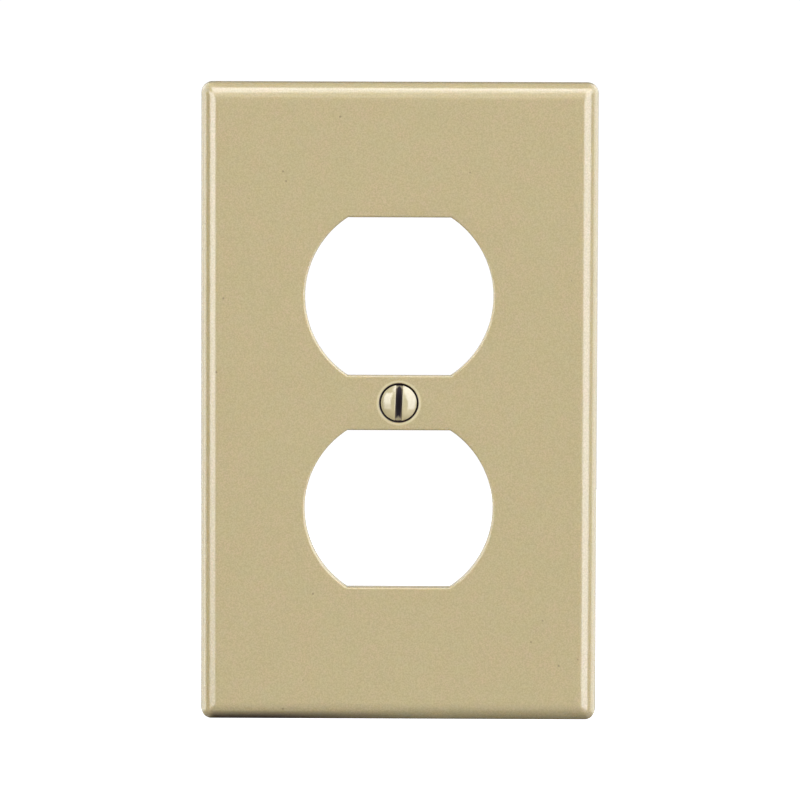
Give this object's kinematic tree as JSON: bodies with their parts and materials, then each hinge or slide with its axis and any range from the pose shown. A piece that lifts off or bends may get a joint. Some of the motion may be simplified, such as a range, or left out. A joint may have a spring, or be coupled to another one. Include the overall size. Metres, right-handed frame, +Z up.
{
  "type": "duplex receptacle wall plate",
  "caption": "Shallow rectangular wall plate with rolled edges, receptacle openings with flat tops and bottoms, and a captive slotted oval-head screw in its countersunk centre hole.",
  "frame": {"origin": "on the screw's axis, in the plane of the wall that the plate's rim rests on", "axes": "+Z up along the plate's long side, +X to the right as the plate is seen on the wall, -Y out of the wall towards the viewer"},
  "size_m": [0.073, 0.017, 0.1174],
  "materials": {
    "ivory_nylon": "satin moulded nylon with a very fine grain",
    "painted_screw": "gloss enamel on the head, bare zinc-plated thread",
    "natural_nylon": "unpigmented nylon, slightly waxy"
  },
  "bodies": {
    "plate": {"wall_plate": "ivory_nylon"},
    "washer": {"screw_retaining_washer": "natural_nylon"},
    "screw": {"mounting_screw": "painted_screw"}
  },
  "joints": [
    {"name": "screw_slide", "type": "slide", "parent": "plate", "child": "washer", "axis": [0, -1, 0], "range_m": [0, 0.0047]},
    {"name": "screw_turn", "type": "hinge", "parent": "washer", "child": "screw", "pos_m": [0, 0, 0], "axis": [0, 1, 0], "continuous": true}
  ]
}
